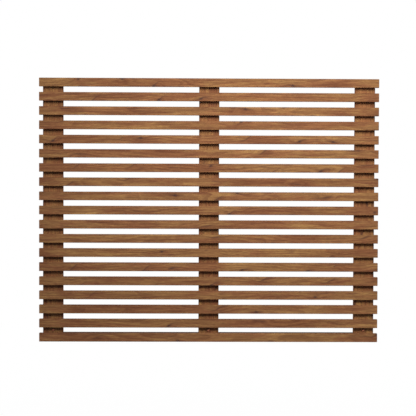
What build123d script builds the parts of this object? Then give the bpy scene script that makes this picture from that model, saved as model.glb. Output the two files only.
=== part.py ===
"""A wall-hung slatted wooden headboard for a queen-size bed.

Nineteen slats run the full width, and three uprights behind them carry them, with one flat-head
screw through each crossing from the back. Three Z-section clips on the uprights hook over a
Z-section rail that is screwed to the wall. A spacer strip behind the feet of the uprights is as
deep as the hanging section, so the headboard hangs plumb. In the middle of the lowest gap, each
upright has a hole for a screw that can lock it to the wall, closed by a round wooden button.

Millimetres. The front faces -Y and the wall is at the +Y side. The origin is at the middle of the
width and of the whole depth, at the height of the underside of the lowest slat.
"""

from build123d import *
from math import atan
from math import degrees
import os

# Slats
slat_length = 1575.0
slat_height = 40.0
slat_depth = 22.0
slat_gap = 25.8
slat_count = 19
slat_edge_chamfer = 1.0

# Uprights
upright_width = 94.0
upright_depth = 20.0
upright_inset = 16.0
upright_edge_chamfer = 1.0

# Flat-head wood screws, with sizes across the flats of their eight sides
screw_side_count = 8
screw_shank_diameter = 4.0
screw_head_diameter = 8.0
screw_point_diameter = 1.0
screw_tip_length = 4.0
screw_clearance = 0.2
pilot_clearance = 0.1
pilot_end_clearance = 0.5
countersink_angle = 45.0
slat_screw_bite = 15.0
slat_screw_stagger = 27.0
clip_screw_bite = 13.0
clip_screw_spacing = 50.0
spacer_screw_bite = 13.0

# Z section of the wall rail and of the clips
metal_thickness = 3.0
flange_height = 20.0
hook_height = 12.0
hook_clearance = 0.3
bend_radius = 0.5
nose_radius = 1.0

# Clips and wall rail, which hides behind one slat, counted from the top
clip_width = 76.0
wall_rail_setback = 25.5
wall_rail_slat_count = 3
stud_spacing = 406.4
stud_count = 4
wall_hole_diameter = 5.5

# Spacer strip behind the feet of the uprights
spacer_height = 40.0
spacer_setback = 2.0
spacer_edge_chamfer = 0.5

# Buttons that close the holes for the locking screws
button_diameter = 14.0
button_height = 5.0
button_edge_chamfer = 2.5
button_shank_diameter = 10.0
button_shank_length = 9.0
button_clearance = 0.1
button_end_clearance = 0.5

# Heights that follow
pitch = slat_height + slat_gap
total_height = slat_height + pitch * (slat_count - 1)

# Depths that follow
hook_offset = metal_thickness + 2 * hook_clearance
hanger_gap = hook_offset + metal_thickness + hook_clearance
total_depth = slat_depth + upright_depth + hanger_gap
front_y = -total_depth / 2
joint_y = front_y + slat_depth
back_y = joint_y + upright_depth
wall_y = back_y + hanger_gap

# Screw sizes that follow
screw_head_height = (screw_head_diameter - screw_shank_diameter) / 2
slat_screw_length = upright_depth + slat_screw_bite
clip_screw_length = metal_thickness + clip_screw_bite
spacer_screw_length = hanger_gap + spacer_screw_bite

# Places across the width
outer_upright_x = slat_length / 2 - upright_inset - upright_width / 2
uprights_x = {"left": -outer_upright_x, "centre": 0.0, "right": outer_upright_x}


def slat_z(number):
    """Height of the middle of a slat, counted from the top."""
    return total_height - slat_height / 2 - pitch * (number - 1)


# Heights of the hanging parts and of the buttons, which sit in the middle of the lowest gap
wall_rail_z = slat_z(wall_rail_slat_count) - (flange_height + hook_height) / 2
wall_hole_z = wall_rail_z + (flange_height - metal_thickness) / 2
clip_top_z = wall_rail_z + 2 * flange_height + hook_height
clip_hole_z = clip_top_z - (flange_height - metal_thickness) / 2
button_z = slat_z(slat_count) + pitch / 2


def plane_at_depth(y):
    """The upright plane at one depth. Its Y axis points up and its normal to the front."""
    return Plane.XZ.offset(-y)


def export(node, name):
    """Labels a finished piece and writes it as parts/name.step."""
    node.part.label = name
    export_step(node.part, f"parts/{name}.step")


def slat_screw_offset(number):
    """How far a slat's screws stand beside the middle of the uprights, in turn to each side."""
    return slat_screw_stagger if number % 2 else -slat_screw_stagger


def slat_screw_places(upright_x):
    """Places of the slat screws in one upright."""
    numbers = range(1, slat_count + 1)
    return [(upright_x + slat_screw_offset(number), slat_z(number)) for number in numbers]


def clip_screw_places(upright_x):
    """Places of the two screws of one clip."""
    return [(upright_x + side * clip_screw_spacing / 2, clip_hole_z) for side in (-1, 1)]


def spacer_screw_place(upright_x):
    """Place of the spacer's screw, beside the lowest slat screw of one upright."""
    return (upright_x - slat_screw_offset(slat_count), slat_z(slat_count))


def make_rod(diameter, length):
    """A straight eight-sided rod along +Z, from z = 0, which also serves as a drill."""
    with BuildPart() as rod:
        with BuildSketch():
            RegularPolygon(diameter / 2, screw_side_count, major_radius=False)
        extrude(amount=length)
    return rod


def make_countersink():
    """A drill that cuts the seat of a screw's head, along +Z from z = 0."""
    with BuildPart() as countersink:
        with BuildSketch():
            RegularPolygon(
                screw_head_diameter / 2 + screw_clearance, screw_side_count, major_radius=False
            )
        extrude(amount=screw_head_height, taper=countersink_angle)
    return countersink


def make_slat(number):
    """A slat with eased edges and one blind pilot hole behind it at each upright."""
    drill = make_rod(
        screw_shank_diameter + 2 * pilot_clearance, slat_screw_bite + pilot_end_clearance
    )
    with BuildPart() as slat:
        with BuildSketch(plane_at_depth(joint_y)):
            with Locations((0, slat_z(number))):
                Rectangle(slat_length, slat_height)
        extrude(amount=slat_depth)
        chamfer(slat.edges(), slat_edge_chamfer)
        with Locations(plane_at_depth(joint_y)):
            with Locations(*[slat_screw_places(x)[number - 1] for x in uprights_x.values()]):
                add(drill.part, mode=Mode.SUBTRACT)
    return slat


def make_upright(x):
    """A board drilled from behind for all the screws, and from the front for its button."""
    through_drill = make_rod(screw_shank_diameter + 2 * screw_clearance, upright_depth)
    pilot_diameter = screw_shank_diameter + 2 * pilot_clearance
    clip_drill = make_rod(pilot_diameter, clip_screw_bite + pilot_end_clearance)
    spacer_drill = make_rod(pilot_diameter, spacer_screw_bite + pilot_end_clearance)
    button_hole_depth = button_shank_length + button_end_clearance
    button_drill = make_rod(button_shank_diameter + 2 * button_clearance, button_hole_depth)
    countersink = make_countersink()
    with BuildPart() as upright:
        with BuildSketch(plane_at_depth(back_y)):
            with Locations((x, total_height / 2)):
                Rectangle(upright_width, total_height)
        extrude(amount=upright_depth)
        chamfer(upright.edges(), upright_edge_chamfer)
        with Locations(plane_at_depth(back_y)):
            with Locations(*slat_screw_places(x)):
                add(through_drill.part, mode=Mode.SUBTRACT)
                add(countersink.part, mode=Mode.SUBTRACT)
            with Locations(*clip_screw_places(x)):
                add(clip_drill.part, mode=Mode.SUBTRACT)
            with Locations(spacer_screw_place(x)):
                add(spacer_drill.part, mode=Mode.SUBTRACT)
            with Locations((x, button_z)):
                add(through_drill.part, mode=Mode.SUBTRACT)
        with Locations(plane_at_depth(joint_y + button_hole_depth)):
            with Locations((x, button_z)):
                add(button_drill.part, mode=Mode.SUBTRACT)
    return upright


def make_button(x):
    """A wooden button with a broad chamfer, its shank in the front of one upright."""
    shank = make_rod(button_shank_diameter, button_shank_length)
    with BuildPart() as button:
        with BuildSketch(plane_at_depth(joint_y)):
            with Locations((x, button_z)):
                Circle(button_diameter / 2)
        extrude(amount=button_height)
        chamfer(button.edges().sort_by(Axis.Y)[0], button_edge_chamfer)
        with Locations(plane_at_depth(joint_y + button_shank_length)):
            with Locations((x, button_z)):
                add(shank.part)
    return button


def make_wall_spacer():
    """A strip across the backs of the uprights, its top level with the lowest slat's."""
    drill = make_rod(screw_shank_diameter + 2 * screw_clearance, hanger_gap)
    countersink = make_countersink()
    length = 2 * outer_upright_x + upright_width - 2 * spacer_setback
    middle_z = slat_z(slat_count) + (slat_height - spacer_height) / 2
    with BuildPart() as spacer:
        with BuildSketch(plane_at_depth(wall_y)):
            with Locations((0, middle_z)):
                Rectangle(length, spacer_height)
        extrude(amount=hanger_gap)
        chamfer(spacer.edges(), spacer_edge_chamfer)
        with Locations(plane_at_depth(wall_y)):
            with Locations(*[spacer_screw_place(x) for x in uprights_x.values()]):
                add(drill.part, mode=Mode.SUBTRACT)
                add(countersink.part, mode=Mode.SUBTRACT)
    return spacer


def make_screw(length):
    """A flat-head wood screw along +Z, with the top of its head at z = 0."""
    tip_z = length - screw_tip_length
    tip_angle = degrees(atan((screw_shank_diameter - screw_point_diameter) / 2 / screw_tip_length))
    with BuildPart() as screw:
        with BuildSketch():
            RegularPolygon(screw_head_diameter / 2, screw_side_count, major_radius=False)
        extrude(amount=screw_head_height, taper=countersink_angle)
        with BuildSketch(Plane.XY.offset(screw_head_height)):
            RegularPolygon(screw_shank_diameter / 2, screw_side_count, major_radius=False)
        extrude(amount=tip_z - screw_head_height)
        with BuildSketch(Plane.XY.offset(tip_z)):
            RegularPolygon(screw_shank_diameter / 2, screw_side_count, major_radius=False)
        extrude(amount=screw_tip_length, taper=tip_angle)
    return screw


def make_screws(places, y, length):
    """A group of screws that go in from the plane at depth y towards the front."""
    screw = make_screw(length)
    with BuildPart() as screws:
        with Locations(plane_at_depth(y)):
            with Locations(*places):
                add(screw.part)
    return screws


def hanger_section():
    """The Z section, from the foot of its flange at (0, 0) up to the nose of its hook."""
    with BuildSketch() as section:
        with BuildLine():
            Polyline(
                (0, 0),
                (metal_thickness, 0),
                (metal_thickness, flange_height - metal_thickness),
                (hook_offset + metal_thickness, flange_height - metal_thickness),
                (hook_offset + metal_thickness, flange_height + hook_height),
                (hook_offset, flange_height + hook_height),
                (hook_offset, flange_height),
                (0, flange_height),
                close=True,
            )
        make_face()
        rows = section.vertices().group_by(Axis.Y)
        fillet([rows[1].sort_by(Axis.X)[0], rows[2].sort_by(Axis.X)[-1]], bend_radius)
        fillet(section.vertices().group_by(Axis.Y)[-1], nose_radius)
    return section


def make_clip(x):
    """A short piece of the Z section with its hook down, screwed to the back of one upright."""
    drill = make_rod(screw_shank_diameter + 2 * screw_clearance, metal_thickness)
    countersink = make_countersink()
    end_plane = Plane(
        origin=(x + clip_width / 2, back_y, clip_top_z), x_dir=(0, 1, 0), z_dir=(-1, 0, 0)
    )
    with BuildPart() as clip:
        with BuildSketch(end_plane):
            add(hanger_section().sketch)
        extrude(amount=clip_width)
        with Locations(plane_at_depth(back_y + metal_thickness)):
            with Locations(*clip_screw_places(x)):
                add(drill.part, mode=Mode.SUBTRACT)
                add(countersink.part, mode=Mode.SUBTRACT)
    return clip


def make_wall_rail():
    """The long Z section with its hook up, drilled to be screwed to the studs of the wall."""
    half_length = slat_length / 2 - wall_rail_setback
    end_plane = Plane(
        origin=(half_length, wall_y, wall_rail_z), x_dir=(0, -1, 0), z_dir=(-1, 0, 0)
    )
    with BuildPart() as rail:
        with BuildSketch(end_plane):
            add(hanger_section().sketch)
        extrude(amount=2 * half_length)
        with Locations(plane_at_depth(wall_y)):
            with Locations((0, wall_hole_z)):
                with GridLocations(stud_spacing, flange_height, stud_count, 1):
                    Hole(wall_hole_diameter / 2)
    return rail


os.makedirs("parts", exist_ok=True)

for number in range(1, slat_count + 1):
    export(make_slat(number), f"slat_{number:02d}")

for side, upright_x in uprights_x.items():
    export(make_upright(upright_x), f"upright_{side}")
    slat_screws = make_screws(slat_screw_places(upright_x), back_y, slat_screw_length)
    export(slat_screws, f"slat_screws_{side}")
    export(make_button(upright_x), f"foot_button_{side}")
    export(make_clip(upright_x), f"hanger_clip_{side}")
    clip_screws = make_screws(
        clip_screw_places(upright_x), back_y + metal_thickness, clip_screw_length
    )
    export(clip_screws, f"clip_screws_{side}")

export(make_wall_spacer(), "wall_spacer")
spacer_screw_places = [spacer_screw_place(x) for x in uprights_x.values()]
export(make_screws(spacer_screw_places, wall_y, spacer_screw_length), "spacer_screws")

export(make_wall_rail(), "wall_rail")

print(f"overall {slat_length:.1f} x {total_depth:.1f} x {total_height:.1f} mm")
print(f"slat pitch {pitch:.1f} mm, uprights at x = +-{outer_upright_x:.1f} mm")
print(f"wall rail from z {wall_rail_z:.1f} mm, its holes at z {wall_hole_z:.2f} mm")
print(f"back of the uprights y {back_y:.2f} mm, wall y {wall_y:.2f} mm")
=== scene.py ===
"""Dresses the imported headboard: oiled wood, aluminium hangers and zinc screws, light and camera."""

import math
import random
from typing import NamedTuple

import bmesh
import bpy
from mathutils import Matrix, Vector


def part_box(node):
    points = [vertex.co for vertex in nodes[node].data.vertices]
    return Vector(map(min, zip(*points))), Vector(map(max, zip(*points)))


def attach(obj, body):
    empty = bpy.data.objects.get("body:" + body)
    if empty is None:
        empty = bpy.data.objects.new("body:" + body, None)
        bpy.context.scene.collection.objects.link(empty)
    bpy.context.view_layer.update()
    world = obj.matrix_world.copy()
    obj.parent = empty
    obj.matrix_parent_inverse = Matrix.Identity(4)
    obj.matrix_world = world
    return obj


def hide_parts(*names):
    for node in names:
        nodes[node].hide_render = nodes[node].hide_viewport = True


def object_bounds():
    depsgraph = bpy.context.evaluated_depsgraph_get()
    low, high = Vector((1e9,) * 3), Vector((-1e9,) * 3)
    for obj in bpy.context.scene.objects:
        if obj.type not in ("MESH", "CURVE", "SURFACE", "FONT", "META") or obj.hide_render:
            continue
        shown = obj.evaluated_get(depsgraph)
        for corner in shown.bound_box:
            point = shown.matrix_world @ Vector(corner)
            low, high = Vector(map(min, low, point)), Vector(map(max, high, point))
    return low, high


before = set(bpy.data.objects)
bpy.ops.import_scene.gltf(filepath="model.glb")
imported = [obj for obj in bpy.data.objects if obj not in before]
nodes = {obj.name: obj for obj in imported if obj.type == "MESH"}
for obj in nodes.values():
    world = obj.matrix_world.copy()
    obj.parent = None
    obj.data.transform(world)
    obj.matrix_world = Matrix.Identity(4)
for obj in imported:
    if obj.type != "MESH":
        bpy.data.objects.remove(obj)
cad_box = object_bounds()

MM = 0.001
SLAT_NAMES = sorted(name for name in nodes if name.startswith("slat_") and "screws" not in name)
SCREW_NAMES = sorted(name for name in nodes if "screws" in name)

# Sizes read from the frame, in metres
front_y = cad_box[0][1]
slat_low, slat_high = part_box(SLAT_NAMES[-1])
slat_length = slat_high.x - slat_low.x
slat_height = slat_high.z - slat_low.z
slat_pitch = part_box(SLAT_NAMES[0])[0].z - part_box(SLAT_NAMES[1])[0].z
upright_low, upright_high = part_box("upright_right")
upright_x = (upright_low.x + upright_high.x) / 2
upright_width = upright_high.x - upright_low.x
upright_top = upright_high.z

# The camera that took the photograph, in metres and degrees
CAMERA_X = -0.101
CAMERA_DISTANCE = 6.225
CAMERA_Z = 0.849
CAMERA_TURN = (87.932, -0.227, -0.880)
FOCAL_LENGTH_PIXELS = 1342.0
PHOTO_WIDTH_PIXELS = 416
SENSOR_MM = 36.0

# Edges and screws, in metres unless a name says otherwise
WELD_REACH = 0.001 * MM
EDGE_ROUNDING = 0.35 * MM
ROUNDING_SEGMENTS = 2
ROUNDED_ANGLE_DEGREES = 30
SAME_HEIGHT = 0.01 * MM
CAD_SIDES = 8
NEARLY = 0.99
HEAD_SIDES = 24
HEAD_RIM = 0.2 * MM
RECESS_REACH_SHARE = 0.62
RECESS_ARM_SHARE = 0.17
RECESS_FLOOR_SHARE = 0.45
RECESS_DEPTH = 1.6 * MM


class Pattern(NamedTuple):
    """Noise, with its cycles per metre along and across the grain and the kind of its finer layers."""

    along: float
    across: float
    detail: float = 2.0
    roughness: float = 0.5
    distortion: float = 0.0


class Board(NamedTuple):
    """A place on a board in metres, the board's number, the share of end grain there, and its size."""

    along: bpy.types.NodeSocket
    across: bpy.types.NodeSocket
    depth: bpy.types.NodeSocket
    number: bpy.types.NodeSocket
    end: bpy.types.NodeSocket
    half_width: float
    length: float


# Wood colours in linear light, and the share of the tone that each channel takes
RED_WOOD = (0.295, 0.119, 0.046)
GOLDEN_WOOD = (0.299, 0.138, 0.0495)
# The plugs' colours are partly their own lighter, redder wood and partly painted light, which lifts them
# out of the shade of the slat above
RED_BUTTON_WITH_PAINTED_LIGHT = (0.66, 0.250, 0.122)
GOLDEN_BUTTON_WITH_PAINTED_LIGHT = (0.68, 0.285, 0.130)
DARK_STREAK = (0.112, 0.046, 0.026)
KNOT_WOOD = (0.060, 0.028, 0.023)
TONE_SHARES = (0.88, 1.10, 0.95)

# How far apart two boards with successive numbers lie in the log, in metres, and each kind's first number
SHIFT_ALONG = 3.17
SHIFT_ACROSS = 0.61
SLAT_SEED = 57.0
SPACER_SEED = 83.0
BUTTON_SEED = 97.0
UPRIGHT_SEED = 41.0

# Patterns of the wood
SLOW_WANDER = Pattern(along=1.6, across=4.0)
QUICK_WANDER = Pattern(along=9.0, across=30.0)
BROAD_HUE = Pattern(along=3.4, across=20.0, roughness=0.55)
FINE_HUE = Pattern(along=18.0, across=120.0)
BANDS = Pattern(along=2.0, across=45.0, roughness=0.6)
PATCHES = Pattern(along=5.0, across=26.0, detail=3.0, roughness=0.6)
STREAKS = Pattern(along=8.0, across=210.0, detail=3.0, roughness=0.6, distortion=0.15)
FLECKS = Pattern(along=55.0, across=300.0)
FIBRES = Pattern(along=24.0, across=1000.0, detail=3.0, roughness=0.65)
PORES = Pattern(along=90.0, across=2000.0, detail=1.0)
SMOKE = Pattern(along=8.0, across=120.0, detail=3.0, roughness=0.65, distortion=0.8)
DARK_LINES = Pattern(along=3.5, across=55.0, distortion=0.3)

# Noise values between which a pattern fades in
HUE_FADE = (-0.15, 0.15)
PORE_FADE = (0.12, 0.24)
SMOKE_FADE = (0.10, 0.26)
LINE_FADE = (-0.02, 0.10)
LINE_WIDTH = 0.016
END_GRAIN_FADE = (0.6, 0.9)

# Weights of the patterns. Tone is the natural logarithm of brightness.
HUE_WEIGHTS = {"broad_hue": 1.0, "fine_hue": 0.6, "patches": 0.25, "side": 0.10, "waves": 0.035}
BROAD_TONE_WEIGHTS = {"hue": 0.15, "waves": 0.045, "bands": 0.95, "patches": 0.60}
FINE_TONE_WEIGHTS = {"streaks": 1.5, "flecks": 0.90, "fibres": 1.1}
GROWTH_TONE_WEIGHTS = {"year": 0.18, "late": -0.30, "swirl": -0.10, "side": 0.09}
GRAIN_CONTRAST = 0.85
END_GRAIN_TONE = -0.30
HEIGHT_WEIGHTS = {"fibres": 0.6, "streaks": 0.5, "pores": -0.7, "late": 0.25}
ROUGHNESS_WEIGHTS = {"fibres": 0.35, "pores": 0.15}

# How strongly each dark mark covers the wood
SMOKE_COVER = 0.65
LINE_COVER = 0.45
TRACE_COVER = 0.8
CORE_COVER = 0.85
PORE_COVER = 0.35

# Oiled surface
WOOD_RELIEF = 0.2 * MM
WOOD_ROUGHNESS = 0.72
WOOD_IOR = 1.46
WOOD_SPECULAR = 0.12

# Width and tone of the painted shade along the boards' edges, the painted light and shade that set the
# uprights and the spacer apart, and the fineness that sets some boards apart
# Painted shade: the rims darken the boards' long edges and the whole faces past them, that is the slats'
# top and bottom faces and the uprights' side faces
SLAT_EDGE_SHADE = (2.2 * MM, -0.16)
UPRIGHT_EDGE_SHADE = (6.0 * MM, -0.55)
# Painted light: the uprights are lit and shaded copies of one wood, and the right one is painted lighter
UPRIGHT_PAINTED_LIGHT = {"left": 0.02, "centre": 0.0, "right": 0.14}
UPRIGHT_FINENESS = 0.55
BUTTON_FINENESS = 0.3
# Painted shade: the spacer's wood is painted darker, for the shadow of the slat above it
SPACER_PAINTED_SHADE = -0.2

# Knots: cells per metre, and the reach of each part along and across the board, in metres
KNOT_CELLS = (3.2, 12.0, 0.0)
SWIRL_REACH = (0.050, 0.016)
TRACE_REACH = (0.032, 0.0038)
SIDE_REACH = (0.070, 0.003)
CORE_REACH = (0.0080, 0.0055)
TRACE_HALF_LENGTH = 0.030
TRACE_RISE = 0.050
TRACE_LEVEL_LEAN = 0.2
TRACE_CHANCE_FADE = (0.10, 0.35)
CORE_CHANCE_FADE = (0.45, 0.60)

# Growth rings: their width, the pith's place beside the board and how far it varies, in metres
RING_WIDTH = 0.0062
PITH_ACROSS_SPREAD = 0.11
PITH_DEPTH = 0.045
PITH_DEPTH_SPREAD = 0.06
TAPER_SPREAD = 0.05
SLOW_WANDER_REACH = 0.05
QUICK_WANDER_REACH = 0.006
SWIRL_PUSH = 0.007
LATE_WOOD_RISE = (0.25, 0.85)
LATE_WOOD_FALL = (0.9, 1.0)
YEARS_APART = 17.0

# Slow waves of tone: their turns over a board's length, their weights and their turns per metre across
WAVE_TURNS = (1, 2, 3)
WAVE_WEIGHTS = (1.0, 0.8, 0.4)
WAVE_TURNS_ACROSS = 2.0
WAVE_SEED = 0.37

# Metals: colours in linear light, roughness, brushed lines and smudges
ALUMINIUM_COLOUR = (0.54, 0.55, 0.56)
ALUMINIUM_ROUGHNESS = 0.40
ALUMINIUM_LINES = Pattern(along=8.0, across=900.0, detail=3.0, roughness=0.7)
ZINC_COLOUR = (0.60, 0.56, 0.46)
ZINC_ROUGHNESS = 0.34
ZINC_LINES = Pattern(along=900.0, across=900.0, detail=3.0, roughness=0.7)
SMUDGES = Pattern(along=30.0, across=60.0, detail=3.0, roughness=0.6)
METAL_TONE_WEIGHTS = {"lines": 0.45, "smudges": 0.35}
METAL_ROUGHNESS_WEIGHTS = {"lines": 0.25, "smudges": 0.3}
METAL_RELIEF = 0.08 * MM

# Floor paint, and how far its white glow makes up for the paint that shows near the object
FLOOR_GREY = (0.55, 0.55, 0.55)
FLOOR_ROUGHNESS = 0.9
GLOW_MAKE_UP = 0.6


class Shader:
    """Builds a material's nodes with calls that read like formulas."""

    def __init__(self, name):
        self.material = bpy.data.materials.new(name)
        self.material.use_nodes = True
        self.tree = self.material.node_tree
        self.tree.nodes.clear()
        self.surface = self.add("ShaderNodeBsdfPrincipled")
        self.output = self.add("ShaderNodeOutputMaterial")
        self.tree.links.new(self.surface.outputs[0], self.output.inputs["Surface"])

    def add(self, kind, **properties):
        node = self.tree.nodes.new(kind)
        for key, value in properties.items():
            setattr(node, key, value)
        return node

    def feed(self, socket, value):
        """Links a socket to an output, or sets it to a constant."""
        if isinstance(value, bpy.types.NodeSocket):
            self.tree.links.new(value, socket)
        else:
            socket.default_value = value

    def math(self, operation, *values):
        node = self.add("ShaderNodeMath", operation=operation)
        for socket, value in zip(node.inputs, values):
            self.feed(socket, value)
        return node.outputs[0]

    def product(self, first, *others):
        result = first
        for factor in others:
            result = self.math("MULTIPLY", result, factor)
        return result

    def total(self, *terms):
        """The sum of its terms, each a value or a pair of value and weight."""
        result = 0.0
        for term in terms:
            value = self.math("MULTIPLY", *term) if isinstance(term, tuple) else term
            result = self.math("ADD", result, value)
        return result

    def weigh(self, values, weights, start=0.0):
        """A start and the weighted sum of the values that the weights name."""
        return self.total(start, *((values[name], weight) for name, weight in weights.items()))

    def separate(self, vector):
        node = self.add("ShaderNodeSeparateXYZ")
        self.feed(node.inputs[0], vector)
        return node.outputs

    def combine(self, x, y, z):
        node = self.add("ShaderNodeCombineXYZ")
        for socket, value in zip(node.inputs, (x, y, z)):
            self.feed(socket, value)
        return node.outputs[0]

    def scale(self, vector, scales):
        node = self.add("ShaderNodeVectorMath", operation="MULTIPLY")
        self.feed(node.inputs[0], vector)
        node.inputs[1].default_value = scales
        return node.outputs[0]

    def noise(self, vector, pattern):
        """Noise about zero, for a vector with the grain along its first axis."""
        node = self.add("ShaderNodeTexNoise")
        scaled = self.scale(vector, (pattern.along, pattern.across, pattern.across))
        self.feed(node.inputs["Vector"], scaled)
        node.inputs["Scale"].default_value = 1.0
        node.inputs["Detail"].default_value = pattern.detail
        node.inputs["Roughness"].default_value = pattern.roughness
        node.inputs["Distortion"].default_value = pattern.distortion
        return self.math("SUBTRACT", node.outputs[0], 0.5)

    def random(self, seed):
        """Three random shares from one number."""
        node = self.add("ShaderNodeTexWhiteNoise", noise_dimensions="1D")
        self.feed(node.inputs["W"], seed)
        return self.separate(node.outputs["Color"])

    def spread(self, share, width):
        """A random share as a value of up to half the width to either side of zero."""
        return self.math("MULTIPLY", self.math("SUBTRACT", share, 0.5), width)

    def smooth(self, value, low, high):
        """0 below low, 1 above high, and smooth between."""
        node = self.add("ShaderNodeMapRange", interpolation_type="SMOOTHSTEP")
        self.feed(node.inputs["Value"], value)
        node.inputs["From Min"].default_value = low
        node.inputs["From Max"].default_value = high
        return node.outputs[0]

    def bell(self, value, width):
        """1 at zero, falling away smoothly over the width."""
        ratio = self.math("DIVIDE", value, width)
        return self.math("EXPONENT", self.product(ratio, ratio, -1.0))

    def mix(self, share, first, second, blend="MIX"):
        node = self.add("ShaderNodeMix", data_type="RGBA", blend_type=blend)
        self.feed(node.inputs["Factor"], share)
        for socket, value in ((node.inputs[6], first), (node.inputs[7], second)):
            self.feed(socket, (*value, 1.0) if isinstance(value, tuple) else value)
        return node.outputs[2]

    def bump(self, height, distance):
        node = self.add("ShaderNodeBump")
        node.inputs["Strength"].default_value = 1.0
        node.inputs["Distance"].default_value = distance
        self.feed(node.inputs["Height"], height)
        return node.outputs[0]

    def set(self, **values):
        """Sets or links sockets of the surface, each named in small letters."""
        for name, value in values.items():
            self.feed(self.surface.inputs[name.replace("_", " ").title()], value)


def find_board(s, run, seed):
    """The board that a place is on. Run is "x" for boards along the width and "z" for upright ones."""
    x, y, z = s.separate(s.add("ShaderNodeTexCoord").outputs["Object"])
    normal_x, _, normal_z = s.separate(s.add("ShaderNodeNewGeometry").outputs["Normal"])
    if run == "x":
        height = s.math("ADD", z, (slat_pitch - slat_height) / 2)
        number = s.math("FLOOR", s.math("DIVIDE", height, slat_pitch))
        middle = s.total((number, slat_pitch), slat_height / 2)
        along, across, end = x, s.math("SUBTRACT", z, middle), normal_x
        half_width, length = slat_height / 2, slat_length
    else:
        number = s.math("ROUND", s.math("DIVIDE", x, upright_x))
        along, across, end = z, s.total(x, (number, -upright_x)), normal_z
        half_width, length = upright_width / 2, upright_top
    number = s.math("ADD", number, seed)
    return Board(along, across, y, number, s.math("ABSOLUTE", end), half_width, length)


def knots(s, log_place):
    """Swirl round a knot, its S-shaped trace, the side of the trace, and its core, one to each cell."""
    cell = s.scale(log_place, KNOT_CELLS)
    voronoi = s.add("ShaderNodeTexVoronoi", feature="F1")
    voronoi.inputs["Scale"].default_value = 1.0
    s.feed(voronoi.inputs["Vector"], cell)
    apart = s.add("ShaderNodeVectorMath", operation="SUBTRACT")
    s.feed(apart.inputs[0], cell)
    s.feed(apart.inputs[1], voronoi.outputs["Position"])
    cells_along, cells_across, _ = s.separate(apart.outputs[0])
    along = s.math("DIVIDE", cells_along, KNOT_CELLS[0])
    across = s.math("DIVIDE", cells_across, KNOT_CELLS[1])
    lean, trace_chance, core_chance = s.separate(voronoi.outputs["Color"])

    def spot(offset, reach):
        return s.product(s.bell(along, reach[0]), s.bell(offset, reach[1]))

    rise = s.product(s.math("SUBTRACT", lean, TRACE_LEVEL_LEAN), TRACE_RISE)
    curve = s.math("SUBTRACT", s.smooth(along, -TRACE_HALF_LENGTH, TRACE_HALF_LENGTH), 0.5)
    from_trace = s.math("SUBTRACT", across, s.product(rise, curve))
    has_trace = s.smooth(trace_chance, *TRACE_CHANCE_FADE)
    has_core = s.smooth(core_chance, *CORE_CHANCE_FADE)

    side_length, side_softness = SIDE_REACH
    above = s.product(s.smooth(from_trace, -side_softness, side_softness), 2.0)
    beside = s.product(s.bell(along, side_length), has_trace)
    side = s.product(s.math("SUBTRACT", above, 1.0), beside)
    trace = s.product(spot(from_trace, TRACE_REACH), has_trace)
    core = s.product(spot(across, CORE_REACH), has_core)
    return spot(across, SWIRL_REACH), trace, side, core


def growth_rings(s, board, log_place, swirl):
    """Late wood and each year's own tone, in rings about a pith beside the board."""
    slow = s.noise(log_place, SLOW_WANDER)
    quick = s.noise(log_place, QUICK_WANDER)
    wander = s.total((slow, SLOW_WANDER_REACH), (quick, QUICK_WANDER_REACH))
    shares = s.random(board.number)
    pith_across = s.spread(shares[0], PITH_ACROSS_SPREAD)
    pith_depth = s.total(PITH_DEPTH, (shares[1], PITH_DEPTH_SPREAD))
    taper = s.spread(shares[2], TAPER_SPREAD)
    ring_across = s.math("SUBTRACT", board.across, s.total(pith_across, (taper, board.along)))
    ring_depth = s.math("SUBTRACT", board.depth, pith_depth)
    radius = s.math("SQRT", s.total((ring_across, ring_across), (ring_depth, ring_depth)))
    years = s.math("DIVIDE", s.total(radius, wander, (swirl, SWIRL_PUSH)), RING_WIDTH)
    season = s.math("FRACT", years)
    before_winter = s.math("SUBTRACT", 1.0, s.smooth(season, *LATE_WOOD_FALL))
    late = s.product(s.smooth(season, *LATE_WOOD_RISE), before_winter)
    year_seed = s.total(s.math("FLOOR", years), (board.number, YEARS_APART))
    return late, s.math("SUBTRACT", s.random(year_seed)[0], 0.5)


def slow_waves(s, board):
    """Slow waves of tone along a board, with a mean of zero over its length."""
    phases = s.random(s.math("ADD", board.number, WAVE_SEED))
    tone = 0.0
    for waves, phase, weight in zip(WAVE_TURNS, phases, WAVE_WEIGHTS):
        turns = s.total((board.along, waves / board.length), (board.across, WAVE_TURNS_ACROSS), phase)
        tone = s.total(tone, (s.math("SINE", s.product(turns, 2 * math.pi)), weight))
    return tone


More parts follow.
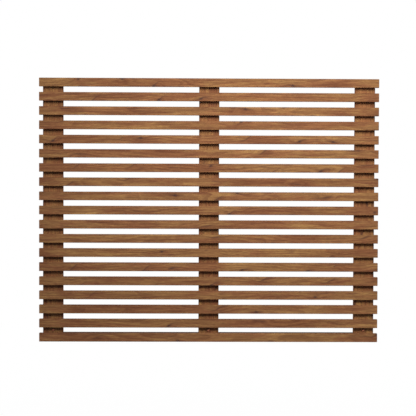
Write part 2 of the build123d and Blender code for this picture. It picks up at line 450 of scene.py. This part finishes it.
def wood(name, run, seed, colours=(RED_WOOD, GOLDEN_WOOD), painted_light_tone=0.0, fineness=1.0, rim=SLAT_EDGE_SHADE):
    """Oiled hardwood with growth rings, streaks, pores and knots that differ on each board.

    Fineness weighs the fine streaks against the broad ones. The rim is the width and tone of the
    painted shade along the edges. The painted light tone is light or shade painted evenly over the board."""
    s = Shader(name)
    board = find_board(s, run, seed)
    log_along = s.total(board.along, (board.number, SHIFT_ALONG))
    log_across = s.total(board.across, (board.number, SHIFT_ACROSS))
    log_place = s.combine(log_along, log_across, board.depth)
    swirl, trace, side, core = knots(s, log_place)
    late, year = growth_rings(s, board, log_place, swirl)
    values = {
        "swirl": swirl,
        "side": side,
        "late": late,
        "year": year,
        "waves": slow_waves(s, board),
        "bands": s.noise(log_place, BANDS),
        "patches": s.noise(log_place, PATCHES),
        "streaks": s.noise(log_place, STREAKS),
        "flecks": s.noise(log_place, FLECKS),
        "fibres": s.noise(log_place, FIBRES),
        "pores": s.smooth(s.noise(log_place, PORES), *PORE_FADE),
        "broad_hue": s.noise(log_place, BROAD_HUE),
        "fine_hue": s.noise(log_place, FINE_HUE),
    }

    golden = s.smooth(s.weigh(values, HUE_WEIGHTS), *HUE_FADE)
    values["hue"] = s.math("SUBTRACT", golden, 0.5)
    grain = s.weigh(values, BROAD_TONE_WEIGHTS)
    grain = s.weigh(values, {key: weight * fineness for key, weight in FINE_TONE_WEIGHTS.items()}, grain)
    grain = s.weigh(values, GROWTH_TONE_WEIGHTS, grain)
    shade_width, shade_tone = rim
    # Painted shade: darker towards the long edges and on the faces past them
    edge = s.smooth(s.math("ABSOLUTE", board.across), board.half_width - shade_width, board.half_width)
    end_grain = s.smooth(board.end, *END_GRAIN_FADE)
    # The painted light tone raises or lowers the whole board as painted light or shade
    tone = s.total(painted_light_tone, (grain, GRAIN_CONTRAST), (edge, shade_tone), (end_grain, END_GRAIN_TONE))
    channels = (s.math("EXPONENT", s.product(tone, share)) for share in TONE_SHARES)
    colour = s.mix(1.0, s.mix(golden, *colours), s.combine(*channels), "MULTIPLY")

    smoke = s.smooth(s.noise(log_place, SMOKE), *SMOKE_FADE)
    line = s.bell(s.noise(log_place, DARK_LINES), LINE_WIDTH)
    line = s.product(line, s.smooth(values["patches"], *LINE_FADE))
    for mark, cover, mark_colour in (
        (smoke, SMOKE_COVER, DARK_STREAK),
        (line, LINE_COVER, DARK_STREAK),
        (trace, TRACE_COVER, DARK_STREAK),
        (core, CORE_COVER, KNOT_WOOD),
        (values["pores"], PORE_COVER, KNOT_WOOD),
    ):
        colour = s.mix(s.product(mark, cover), colour, mark_colour)

    relief = s.bump(s.weigh(values, HEIGHT_WEIGHTS), WOOD_RELIEF)
    s.set(base_color=colour, roughness=s.weigh(values, ROUGHNESS_WEIGHTS, WOOD_ROUGHNESS), normal=relief)
    s.surface.inputs["IOR"].default_value = WOOD_IOR
    s.surface.inputs["Specular IOR Level"].default_value = WOOD_SPECULAR
    return s.material


def brushed_metal(name, colour, roughness, lines):
    """Metal with fine lines and faint smudges, in tone, roughness and relief."""
    s = Shader(name)
    position = s.add("ShaderNodeTexCoord").outputs["Object"]
    values = {"lines": s.noise(position, lines), "smudges": s.noise(position, SMUDGES)}
    tone = s.weigh(values, METAL_TONE_WEIGHTS, 1.0)
    tinted = s.mix(1.0, colour, s.combine(tone, tone, tone), "MULTIPLY")
    rough = s.weigh(values, METAL_ROUGHNESS_WEIGHTS, roughness)
    s.set(base_color=tinted, roughness=rough, normal=s.bump(values["lines"], METAL_RELIEF))
    s.surface.inputs["Metallic"].default_value = 1.0
    return s.material


def dress(node_name, material):
    """Gives a CAD node its material and rounds its eased edges."""
    node = nodes[node_name]
    node.data.materials.clear()
    node.data.materials.append(material)
    weld = node.modifiers.new("weld", "WELD")
    weld.merge_threshold = WELD_REACH
    rounding = node.modifiers.new("rounding", "BEVEL")
    rounding.width = EDGE_ROUNDING
    rounding.segments = ROUNDING_SEGMENTS
    rounding.limit_method = "ANGLE"
    rounding.angle_limit = math.radians(ROUNDED_ANGLE_DEGREES)
    rounding.harden_normals = True


def islands(mesh):
    """The sorted points of each connected piece of a mesh, so that every run finds the same order."""
    seen = set()
    for start in mesh.verts:
        points = []
        waiting = [start]
        while waiting:
            vertex = waiting.pop()
            if vertex not in seen:
                seen.add(vertex)
                points.append(vertex.co.copy())
                waiting.extend(edge.other_vert(vertex) for edge in vertex.link_edges)
        if points:
            yield sorted(points, key=tuple)


def screw_places(node_name):
    """The places and sizes of a CAD node's screws, from the top down and then to the right."""
    mesh = bmesh.new()
    mesh.from_mesh(nodes[node_name].data)
    bmesh.ops.remove_doubles(mesh, verts=mesh.verts, dist=WELD_REACH)
    places = [screw_sizes(points) for points in islands(mesh)]
    mesh.free()
    return sorted(places, key=lambda place: (-round(place[0].z / SAME_HEIGHT), place[0].x))


def screw_sizes(points):
    """The middle of the head, the depths of tip and shank end, and the radii of head, shank and tip."""
    flat_share = math.cos(math.pi / CAD_SIDES)
    head_y = max(point.y for point in points)
    tip_y = min(point.y for point in points)
    rim = [point for point in points if head_y - point.y < WELD_REACH]
    middle = sum(rim, Vector()) / len(rim)
    corner_radius = max((point - middle).xz.length for point in rim)
    body = [point for point in points if head_y - point.y > corner_radius]
    shank_radius = max((point - middle).xz.length for point in body)
    tip_radius = min((point - middle).xz.length for point in body)
    shank_end_y = min(point.y for point in body if (point - middle).xz.length > shank_radius * NEARLY)
    return middle, tip_y, shank_end_y, corner_radius * flat_share, shank_radius, tip_radius


def ring(mesh, middle, radius, y):
    """A circle of vertices about a screw's axis, at one depth."""
    loop = []
    for step in range(HEAD_SIDES):
        turn = 2 * math.pi * step / HEAD_SIDES
        place = (middle.x + radius * math.cos(turn), y, middle.z + radius * math.sin(turn))
        loop.append(mesh.verts.new(place))
    return loop


def cross(mesh, middle, reach, arm, y, turn):
    """The outline of a cross recess, at one depth."""
    corners = []
    for quarter in range(4):
        angle = turn + quarter * math.pi / 2
        ahead = Vector((math.cos(angle), 0.0, math.sin(angle)))
        aside = Vector((-math.sin(angle), 0.0, math.cos(angle)))
        corners += [ahead * reach - aside * arm, ahead * reach + aside * arm, (ahead + aside) * arm]
    return [mesh.verts.new((middle.x + corner.x, y, middle.z + corner.z)) for corner in corners]


def join_loops(mesh, first, second):
    """Faces between two loops with as many vertices."""
    count = len(first)
    for step in range(count):
        after = (step + 1) % count
        mesh.faces.new((first[step], first[after], second[after], second[step]))


def add_screw(mesh, place, turn):
    """One countersunk screw with a round head and a cross recess."""
    middle, tip_y, shank_end_y, head_radius, shank_radius, tip_radius = place
    neck_y = middle.y - HEAD_RIM - (head_radius - shank_radius)
    recess_reach = head_radius * RECESS_REACH_SHARE
    recess_arm = head_radius * RECESS_ARM_SHARE
    profile = (
        (head_radius, middle.y),
        (head_radius, middle.y - HEAD_RIM),
        (shank_radius, neck_y),
        (shank_radius, shank_end_y),
        (tip_radius, tip_y),
    )
    loops = [ring(mesh, middle, radius, y) for radius, y in profile]
    for first, second in zip(loops, loops[1:]):
        join_loops(mesh, first, second)
    mesh.faces.new(loops[-1])
    rim = cross(mesh, middle, recess_reach, recess_arm, middle.y, turn)
    floor_reach = recess_reach * RECESS_FLOOR_SHARE
    floor_arm = recess_arm * RECESS_FLOOR_SHARE
    floor = cross(mesh, middle, floor_reach, floor_arm, middle.y - RECESS_DEPTH, turn)
    join_loops(mesh, rim, floor)
    mesh.faces.new(floor)
    edges = []
    for loop in (loops[0], rim):
        for step, vertex in enumerate(loop):
            after = loop[(step + 1) % len(loop)]
            edges.append(next(edge for edge in vertex.link_edges if edge.other_vert(vertex) == after))
    bmesh.ops.triangle_fill(mesh, edges=edges, use_beauty=True)


def add_screws(node_name, material):
    """Round cross-recess screws in the place of a node's plain ones."""
    mesh = bmesh.new()
    turns = random.Random(node_name)
    for place in screw_places(node_name):
        add_screw(mesh, place, turns.uniform(0.0, math.pi / 2))
    bmesh.ops.recalc_face_normals(mesh, faces=mesh.faces)
    data = bpy.data.meshes.new(f"cross_{node_name}")
    mesh.to_mesh(data)
    mesh.free()
    data.materials.append(material)
    screws = bpy.data.objects.new(f"cross_{node_name}", data)
    bpy.context.scene.collection.objects.link(screws)
    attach(screws, "panel")
    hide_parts(node_name)


def set_camera():
    """The photograph's camera, whose distance is measured from the front of the slats."""
    data = bpy.data.cameras.new("photo_camera")
    data.sensor_fit = "HORIZONTAL"
    data.sensor_width = SENSOR_MM
    data.lens = FOCAL_LENGTH_PIXELS * SENSOR_MM / PHOTO_WIDTH_PIXELS
    camera = bpy.data.objects.new("photo_camera", data)
    camera.location = (CAMERA_X, front_y - CAMERA_DISTANCE, CAMERA_Z)
    camera.rotation_euler = [math.radians(turn) for turn in CAMERA_TURN]
    bpy.context.scene.collection.objects.link(camera)
    bpy.context.scene.camera = camera


def add_lamp(name, place, aim, size, watts, spread=180.0, mirrored=False):
    """An area lamp that the camera doesn't see, nor a mirrored ray unless it is asked for."""
    data = bpy.data.lights.new(name, "AREA")
    data.shape = "RECTANGLE"
    data.size, data.size_y = size
    data.energy = watts
    data.spread = math.radians(spread)
    lamp = bpy.data.objects.new(name, data)
    lamp.location = place
    lamp.rotation_euler = (Vector(aim) - Vector(place)).to_track_quat("-Z", "Y").to_euler()
    lamp.visible_camera = False
    lamp.visible_glossy = mirrored
    bpy.context.scene.collection.objects.link(lamp)


def seen_directly(tree):
    """1 for what the camera sees directly, mirrored or through glass, and 0 for the rest."""
    path = tree.nodes.new("ShaderNodeLightPath")
    seen = path.outputs["Is Camera Ray"]
    for ray in ("Is Glossy Ray", "Is Transmission Ray"):
        either = tree.nodes.new("ShaderNodeMath")
        either.operation = "MAXIMUM"
        tree.links.new(seen, either.inputs[0])
        tree.links.new(path.outputs[ray], either.inputs[1])
        seen = either.outputs[0]
    return seen


def set_world(fill, tint):
    """A white background to the camera, and a weaker even fill of a cool tint on the object."""
    world = bpy.data.worlds.new("studio")
    bpy.context.scene.world = world
    world.use_nodes = True
    tree = world.node_tree
    background = tree.nodes["Background"]
    colour = tree.nodes.new("ShaderNodeMix")
    colour.data_type = "RGBA"
    colour.inputs[6].default_value = (*(fill * channel for channel in tint), 1.0)
    colour.inputs[7].default_value = (1.0, 1.0, 1.0, 1.0)
    tree.links.new(seen_directly(tree), colour.inputs["Factor"])
    tree.links.new(colour.outputs[2], background.inputs["Color"])


def add_floor(height, half_size, shadow_share, shadow_reach):
    """A plain pale floor that looks white, with the object's faint shadow near it."""
    mesh = bpy.data.meshes.new("floor")
    corners = [(x * half_size, y * half_size, height) for x, y in ((-1, -1), (1, -1), (1, 1), (-1, 1))]
    mesh.from_pydata(corners, [], [(0, 1, 2, 3)])
    floor = bpy.data.objects.new("floor", mesh)
    bpy.context.scene.collection.objects.link(floor)
    s = Shader("floor_paint")
    s.surface.inputs["Base Color"].default_value = (*FLOOR_GREY, 1.0)
    s.surface.inputs["Roughness"].default_value = FLOOR_ROUGHNESS
    x, y, _ = s.separate(s.add("ShaderNodeTexCoord").outputs["Object"])
    distance = s.math("SQRT", s.total((x, x), (y, y)))
    near = s.bell(distance, shadow_reach)
    glow = s.add("ShaderNodeEmission")
    s.feed(glow.inputs["Strength"], s.total(1.0, (near, shadow_share * GLOW_MAKE_UP)))
    covered = s.math("SUBTRACT", 1.0, s.product(near, shadow_share))
    cover = s.add("ShaderNodeMixShader")
    s.feed(cover.inputs[0], s.product(seen_directly(s.tree), covered))
    s.feed(cover.inputs[1], s.surface.outputs[0])
    s.feed(cover.inputs[2], glow.outputs[0])
    s.tree.links.new(cover.outputs[0], s.output.inputs["Surface"])
    mesh.materials.append(s.material)


slat_wood = wood("slat_wood", "x", SLAT_SEED)
# The spacer's wood is darkened by painted shade
spacer_wood = wood("spacer_wood", "x", SPACER_SEED, painted_light_tone=SPACER_PAINTED_SHADE)
# The plugs' wood is partly its own lighter colour and partly painted light
button_wood = wood("button_wood", "x", BUTTON_SEED, (RED_BUTTON_WITH_PAINTED_LIGHT, GOLDEN_BUTTON_WITH_PAINTED_LIGHT), fineness=BUTTON_FINENESS)
aluminium = brushed_metal("hanger_aluminium", ALUMINIUM_COLOUR, ALUMINIUM_ROUGHNESS, ALUMINIUM_LINES)
zinc = brushed_metal("screw_zinc", ZINC_COLOUR, ZINC_ROUGHNESS, ZINC_LINES)

for slat_name in SLAT_NAMES:
    dress(slat_name, slat_wood)
dress("wall_spacer", spacer_wood)
dress("wall_rail", aluminium)
# Each upright gets its own copy of the wood, painted lighter or darker by where it stands
for side, upright_painted_light in UPRIGHT_PAINTED_LIGHT.items():
    upright_wood = wood(
        f"upright_wood_{side}",
        "z",
        UPRIGHT_SEED,
        painted_light_tone=upright_painted_light,
        fineness=UPRIGHT_FINENESS,
        rim=UPRIGHT_EDGE_SHADE,
    )
    dress(f"upright_{side}", upright_wood)
    dress(f"foot_button_{side}", button_wood)
    dress(f"hanger_clip_{side}", aluminium)
for screw_name in SCREW_NAMES:
    add_screws(screw_name, zinc)

bpy.context.scene.view_settings.view_transform = "Standard"
set_camera()
set_world(fill=0.09, tint=(0.8, 1.3, 2.2))
add_lamp(
    "key",
    place=(-0.3, front_y - 2.8, 2.65),
    aim=(0.575, front_y, 0.863),
    size=(1.5, 1.5),
    watts=35.9,
    spread=84.0,
    mirrored=True,
)
add_lamp("back", place=(-0.8, 4.2, -0.6), aim=(0.0, 0.0, 0.6), size=(5.0, 1.2), watts=120.0)
add_lamp("left", place=(-3.8, 1.4, -0.4), aim=(0.0, 0.0, 0.6), size=(2.4, 0.9), watts=70.0)
add_lamp("right", place=(3.8, 1.4, -0.4), aim=(0.0, 0.0, 0.6), size=(2.4, 0.9), watts=70.0)
add_floor(height=-1.5, half_size=30.0, shadow_share=0.3, shadow_reach=4.0)
